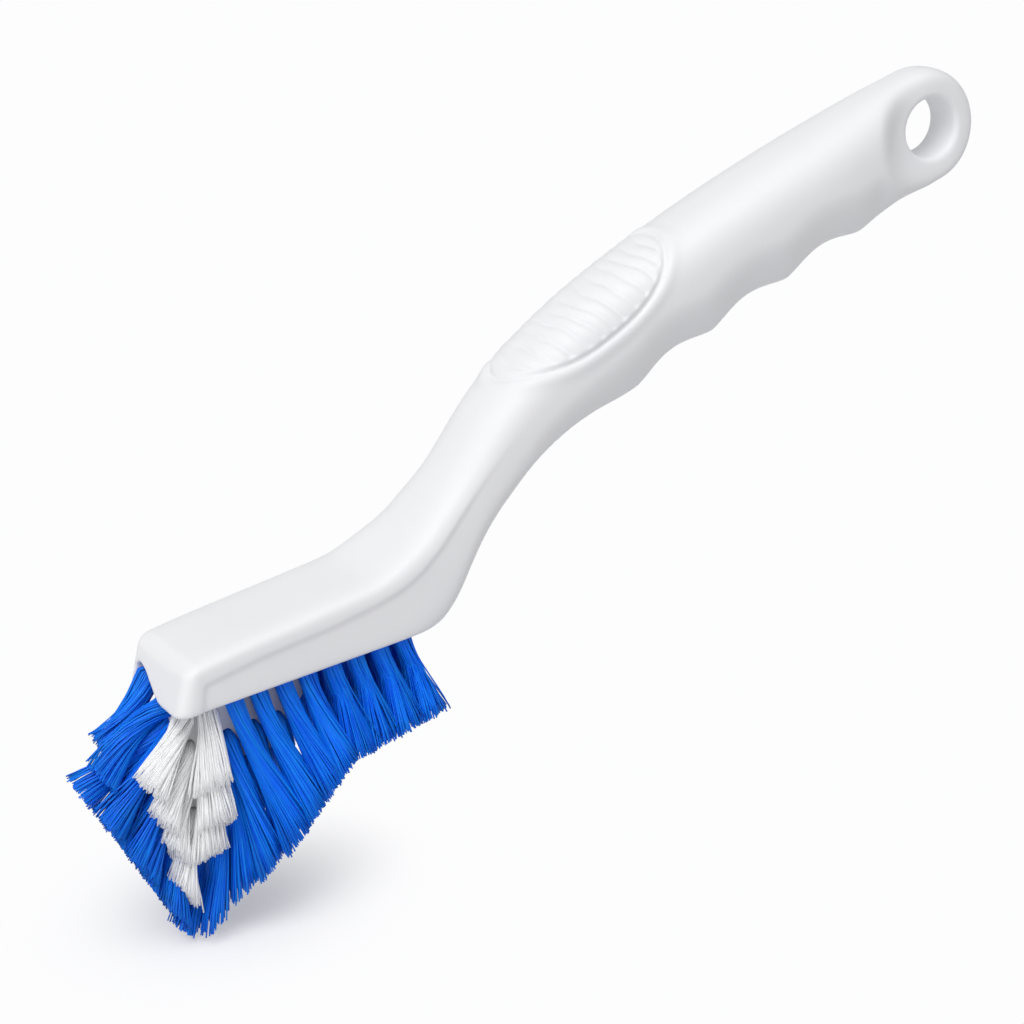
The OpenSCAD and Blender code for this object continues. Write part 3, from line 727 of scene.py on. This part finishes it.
# %% Reading a bundle's ends from the frame
STUB_LENGTH = 3.5           # mm, from the bottom of the hole to where the bundle bends
END_SLICE, BOTTOM_SLICE = 0.9, 0.05    # mm, how thick a slice of the solid counts as its end


def unit(vector):
    vector = np.asarray(vector, float)
    return vector / np.linalg.norm(vector)


def bundle_ends(name):
    """Bottom of the hole, the bend, the middle of the trimmed end, and the directions there"""
    points = read_points(nodes[name].data) / MM + HOLE
    middle = points.mean(0)
    _, _, axes = np.linalg.svd(points - middle, full_matrices=False)
    along = (points - middle) @ axes[0]
    ends = [points[along < along.min() + END_SLICE].mean(0),
            points[along > along.max() - END_SLICE].mean(0)]
    tip = min(ends, key=lambda end: end[2])
    leaving, trim = (np.array(direction, float) for direction in leaving_and_trim(name))
    if name.startswith(("right", "far")):
        leaving[1], trim[1] = -leaving[1], -trim[1]
    leaving = unit(leaving)
    depth = points @ leaving
    bottom = points[depth < depth.min() + BOTTOM_SLICE].mean(0)
    return bottom, bottom + leaving * STUB_LENGTH, tip, leaving, unit(trim)


# %% [markdown]
# Filaments are round and about a third of a millimetre thick. A thin closed tube with four sides
# and smooth shading looks round at this size, and it keeps the mesh small. There are 150 to a
# bundle, which is more than such a hole would hold: they run through each other near the root,
# where the bundle looks like one rod anyway, and make it look full where it opens.

# %% One filament
FILAMENTS, FILAMENT_RADIUS, FILAMENT_SIDES, FILAMENT_STEPS = 150, 0.165, 4, 7


def tube_along(path, outward, verts, outwards, faces):
    """Adds a closed thin tube to the lists, and how each point lies in the bundle"""
    tangent = np.gradient(path, axis=0)
    tangent /= np.linalg.norm(tangent, axis=1)[:, None]
    across = np.cross(tangent, unit((0.3, 1, 0.2)))    # along no filament
    across /= np.linalg.norm(across, axis=1)[:, None]
    other = np.cross(tangent, across)
    angle = np.linspace(0, 2 * np.pi, FILAMENT_SIDES, endpoint=False)
    ring = (np.cos(angle)[None, :, None] * across[:, None]
            + np.sin(angle)[None, :, None] * other[:, None])
    start, n, steps = len(verts), FILAMENT_SIDES, len(path)
    verts.extend((path[:, None] + FILAMENT_RADIUS * ring).reshape(-1, 3))
    outwards.extend(np.repeat(outward, FILAMENT_SIDES, axis=0))
    for i in range(steps - 1):
        for j in range(n):
            a, b = start + i * n + j, start + i * n + (j + 1) % n
            faces.append((a, b, b + n, a + n))
    faces.append(tuple(start + j for j in range(n - 1, -1, -1)))
    faces.append(tuple(start + (steps - 1) * n + j for j in range(n)))


# %% [markdown]
# The solid says where the bundle goes, and these values say how wide it is on the way. The two
# bundles below the opening lean together, and the lowest white one leans forward, because packed
# solids must not touch and real filament does.

# %% The shape of a bundle
ROOT_SPREAD, BEND_SPREAD, END_SPREAD = 1.25, 2.1, 4.9    # mm, radius at the hole, bend and end
LEAST_OPEN, OPEN_PER_MM = 0.45, 1 / 32    # share of the end's radius, and its rise with length
TIP_NARROWER, ARCH_WIDER, WHITE_WIDER = 0.65, 1.45, 1.2
# mm that a bundle leans off its solid: on the way, and at its end
LEANS = {"arch_tuft_1": ((0, -2.0, -1.2), (2.2, 0, -2.6)),
         "arch_tuft_2": ((0, 2.6, 2.8), (-2.0, 0, -2.0)),
         "white_front_tuft_4": ((0, 0, 0), (-1.6, 0, 0.4))}
NO_LEAN = ((0, 0, 0), (0, 0, 0))


def bundle_shape(name):
    """Places, directions and widths of a bundle, all by name"""
    bottom, bend, tip, leaving, trim = bundle_ends(name)
    run, length = unit(tip - bend), np.linalg.norm(tip - bend)
    aside = unit(np.cross(run, trim if abs(run @ trim) < 0.98 else (0, 1, 0)))
    root_aside = unit(np.cross(leaving, (0.1, 1, 0)))
    sag, shift = np.array(LEANS.get(name, NO_LEAN))
    narrower = TIP_NARROWER if name == "tip_tuft" else 1
    wider = {"arch": ARCH_WIDER, "white": WHITE_WIDER}.get(name.split("_")[0], 1)
    return {
        "bottom": bottom, "bend": bend, "tip": tip + shift, "sag": sag,
        "leaving": leaving, "run": run, "trim": trim, "aside": aside,
        "root_aside": root_aside, "root_other": np.cross(leaving, root_aside),
        "sense": np.sign(root_aside @ aside) or 1,
        "spread": END_SPREAD * min(1, LEAST_OPEN + length * OPEN_PER_MM) * narrower,
        "bend_spread": BEND_SPREAD * wider,
    }


# %% Where a filament ends
STRAYS, STRAY_REACH, FLARE_UNEVEN = 0.04, 1.35, 0.35    # share of strays, how far out, mm
END_MEAN, END_RAGGED, END_LONGEST = -0.6, 0.3, 0.3      # mm along the bundle, from the trimmed end
TIP_POINTED = 1.1           # how steeply the tip bundle's end rises to both sides
SIDE_LIMIT = 16.6           # mm, how far a filament's end may stand to the side
LEAST_ROOM = 0.5            # mm to that limit that every bundle keeps
DEEPEST = 56.6              # mm below the rim, where the longest filament ends


def filament_end(shape, u, v, pointed, rng):
    """The end of the filament that leaves its hole at u, v"""
    tip = shape["tip"]
    stray = STRAY_REACH if rng.random() < STRAYS else 1.0
    flare_u = u * shape["spread"] * stray + rng.gauss(0, FLARE_UNEVEN)
    flare_v = v * shape["spread"] * stray + rng.gauss(0, FLARE_UNEVEN)
    end = (tip + shape["sense"] * shape["aside"] * flare_u + shape["trim"] * flare_v
           + shape["run"] * min(rng.gauss(END_MEAN, END_RAGGED), END_LONGEST))
    if pointed:
        end[2] += TIP_POINTED * abs(end[0] - tip[0])
    away, room = np.sign(tip[1]), max(SIDE_LIMIT - abs(tip[1]), LEAST_ROOM)
    over = (end[1] - tip[1]) * away
    if over > 0:
        end[1] = tip[1] + away * room * np.tanh(over / room)
    end[2] = max(end[2], -DEEPEST)
    return end


# %% The way of a filament, and a whole bundle
ABOVE_BOTTOM = 0.2          # mm
HOLD, TURN_TO_END = 0.33, 0.55    # where the curve's handles are, and how soon it turns to its end
BOW_ASIDE, BOW_ALONG, BOW = 0.5, 0.4, 0.7    # mm to both sides, and the share of it that is used
SAG_AT_END = 0.6            # share of the lean on the way that is left near the end


def filament_path(shape, root, end, rng):
    """Points from the hole to the end: a short straight stub, and then a Bezier curve"""
    share = np.linspace(0, 1, FILAMENT_STEPS)[:, None]
    p0 = shape["bottom"] + root * ROOT_SPREAD + shape["leaving"] * ABOVE_BOTTOM
    p1 = shape["bend"] + root * shape["bend_spread"]
    reach, to_end = np.linalg.norm(end - p1), unit(end - p1)
    handle_in = (p1 + unit(mix(shape["leaving"], to_end, TURN_TO_END)) * reach * HOLD
                 + shape["sag"])
    bow = (shape["aside"] * rng.gauss(0, BOW_ASIDE) + shape["trim"] * rng.gauss(0, BOW_ALONG)) * BOW
    handle_out = end - to_end * reach * HOLD + bow + SAG_AT_END * shape["sag"]
    curve = ((1 - share) ** 3 * p1 + 3 * (1 - share) ** 2 * share * handle_in
             + 3 * (1 - share) * share**2 * handle_out + share**3 * end)
    outward = mix(root, (end - shape["tip"]) / shape["spread"], np.concatenate([[[0]], share]))
    return np.concatenate([[p0], curve]), outward


def bundle_mesh(name, rng):
    shape = bundle_shape(name)
    verts, outwards, faces = [], [], []
    for _ in range(FILAMENTS):
        radius, angle = np.sqrt(rng.random()), rng.random() * 2 * np.pi
        u, v = radius * np.cos(angle), radius * np.sin(angle)
        root = u * shape["root_aside"] + v * shape["root_other"]
        end = filament_end(shape, u, v, name == "tip_tuft", rng)
        path, outward = filament_path(shape, root, end, rng)
        tube_along(path, outward, verts, outwards, faces)
    mesh = bpy.data.meshes.new(name + "_filaments")
    mesh.from_pydata(((np.array(verts) - HOLE) * MM).tolist(), [], faces)
    mesh.polygons.foreach_set("use_smooth", [True] * len(mesh.polygons))
    outward = mesh.attributes.new("outward", "FLOAT_VECTOR", "POINT")
    outward.data.foreach_set("vector", np.array(outwards).ravel())
    return mesh


# %% All bundles
bundle_names = sorted(name for name in nodes if "tuft" in name)
for name in bundle_names:
    rng = random.Random("bundle " + name)
    bundle = bpy.data.objects.new(name + "_filaments", bundle_mesh(name, rng))
    scene.collection.objects.link(bundle)
    white = name.startswith("white")
    paint(bundle, white_filament if white else blue_filament)
    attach(bundle, "root")
    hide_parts(name)
print("bundles:", len(bundle_names), "with", FILAMENTS, "filaments each")

# %% [markdown]
# ## Floor
# The brush stands on its lowest bristles on a pale sweep of paper. A photographer would light the
# sweep until it is white. That light would also wash out the brush, so here the paper that throws
# light back is a pale grey. The camera, glossy and transmitted rays see another mix: paper with a
# soft shadow near the bristles, which fades to a plain white farther out.

# %% The floor
FLOOR_HALF = 3.0                # metres
FLOOR_GAP = 0.2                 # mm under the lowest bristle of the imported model
SHADOW_MIDDLE = (-0.2, 0.011)   # metres, the place under the bristles
SHADOW_FADE = (0.004, 0.05)     # metres from there, where the fade to white starts and ends
PAPER_LIFT = 0.27               # glow that makes the paper near the bristles pale


def pale_paper(height):
    material, tree, shader = new_material("pale_paper_sweep")
    tree.nodes.remove(shader)
    paper = add_node(tree, "ShaderNodeBsdfDiffuse", Color=linear("#CCCCCE"))
    lift = add_node(tree, "ShaderNodeEmission", Color=linear("#FFFFFF"), Strength=PAPER_LIFT)
    shaded = add_node(tree, "ShaderNodeBsdfDiffuse", Color=linear("#E0E0E3"))
    near = add_node(tree, "ShaderNodeAddShader", [(0, shaded.outputs[0]), (1, lift.outputs[0])])
    far = add_node(tree, "ShaderNodeEmission", Color=linear("#FDFDFE"), Strength=1.0)
    where = add_node(tree, "ShaderNodeTexCoord").outputs["Object"]
    away = add_node(tree, "ShaderNodeVectorMath", [(0, where), (1, (*SHADOW_MIDDLE, height))],
                    operation="DISTANCE")
    fade = add_node(tree, "ShaderNodeMapRange", [("Value", away.outputs["Value"])],
                    interpolation_type="SMOOTHSTEP",
                    From_Min=SHADOW_FADE[0], From_Max=SHADOW_FADE[1])
    shown = add_node(tree, "ShaderNodeMixShader",
                     [(0, fade.outputs["Result"]), (1, near.outputs[0]), (2, far.outputs[0])])
    ray = add_node(tree, "ShaderNodeLightPath").outputs
    direct = add_node(tree, "ShaderNodeMath",
                      [(0, ray["Is Camera Ray"]), (1, ray["Is Glossy Ray"])], operation="MAXIMUM")
    seen = add_node(tree, "ShaderNodeMath",
                    [(0, direct.outputs[0]), (1, ray["Is Transmission Ray"])],
                    operation="MAXIMUM")
    surface = add_node(tree, "ShaderNodeMixShader",
                       [(0, seen.outputs[0]), (1, paper.outputs[0]), (2, shown.outputs[0])])
    tree.links.new(surface.outputs[0], tree.nodes["Material Output"].inputs["Surface"])
    return material


def pale_floor():
    side, height = FLOOR_HALF, cad_box[0][2] - FLOOR_GAP * MM
    corners = [(-side, -side), (side, -side), (side, side), (-side, side)]
    mesh = bpy.data.meshes.new("floor")
    mesh.from_pydata([(x, y, height) for x, y in corners], [], [(0, 1, 2, 3)])
    floor = bpy.data.objects.new("floor", mesh)
    scene.collection.objects.link(floor)
    paint(floor, pale_paper(height))
    print("floor at", round(height / MM, 1), "mm")


pale_floor()

# %% [markdown]
# ## Light
# A large soft lamp stands above, towards the near side, and is the key light. It makes the top
# bright and leaves the near side a shade darker. A second one, low and in front, fills the front
# wall and the bristles, and a plain white world fills the rest.


# %% The light
def standing(x, y, z, place):
    """The matrix of a lamp or camera with these axes, at this place"""
    matrix = Matrix([[x[i], y[i], z[i]] for i in range(3)]).to_4x4()
    matrix.translation = place
    return matrix


def soft_lamp(name, place, target, size, watts):
    light = bpy.data.lights.new(name, "AREA")
    light.shape, light.size, light.energy = "DISK", size, watts
    lamp = bpy.data.objects.new(name, light)
    z = -unit(np.array(target, float) - np.array(place, float))
    x = unit(np.cross((0, 0, 1), z))
    lamp.matrix_world = standing(x, np.cross(z, x), z, place)
    scene.collection.objects.link(lamp)
    print(name, "at", place, "with", watts, "W")


MIDDLE_OF_BRUSH = (-0.09, 0, -0.05)    # metres
soft_lamp("key_softbox", (-0.85, -1.05, 2.65), MIDDLE_OF_BRUSH, 2.0, 42.0)
soft_lamp("fill_softbox", (-2.4, -1.2, 0.25), MIDDLE_OF_BRUSH, 2.4, 19.0)
world = bpy.data.worlds.new("white_studio")
scene.world = world
world.use_nodes = True
background = world.node_tree.nodes["Background"]
background.inputs["Color"].default_value = linear("#FFFFFF")
background.inputs["Strength"].default_value = 0.5
scene.view_settings.view_transform = "Standard"

# %% [markdown]
# ## Camera
# The camera looks from the left front, at 27 degrees to the side and 22 degrees above, and is
# rolled by 8 degrees. Its place and direction were solved from the handle's outline, so they are
# given as the picture's right and up, and as where the head is seen from the camera.

# %% The camera
RIGHT, UP = np.array([0.8587, -0.4961, -0.1290]), np.array([0.2924, 0.2674, 0.9182])
SOLVED_POINT = [1, 0, 0]                           # mm from the front of the rim
SEEN_AT = np.array([-75.06, -40.12, 640.66])       # mm, that point to the right, up and away
SENSOR = 36                                        # mm
FOCAL_SHARE = 3000 / 1024                          # focal length in widths of the picture
FARTHEST_SEEN = 20                                 # metres


def photo_camera():
    right = unit(RIGHT)
    up = unit(UP - right * (UP @ right))
    back = np.cross(right, up)
    place = (-np.stack([right, up, -back]).T @ SEEN_AT + SOLVED_POINT - HOLE) * MM
    data = bpy.data.cameras.new("photo_camera")
    data.sensor_width, data.lens = SENSOR, SENSOR * FOCAL_SHARE
    data.clip_end = FARTHEST_SEEN
    camera = bpy.data.objects.new("photo_camera", data)
    camera.matrix_world = standing(right, up, back, place)
    scene.collection.objects.link(camera)
    scene.camera = camera
    print("camera at", (place / MM).round(1), "mm")


photo_camera()
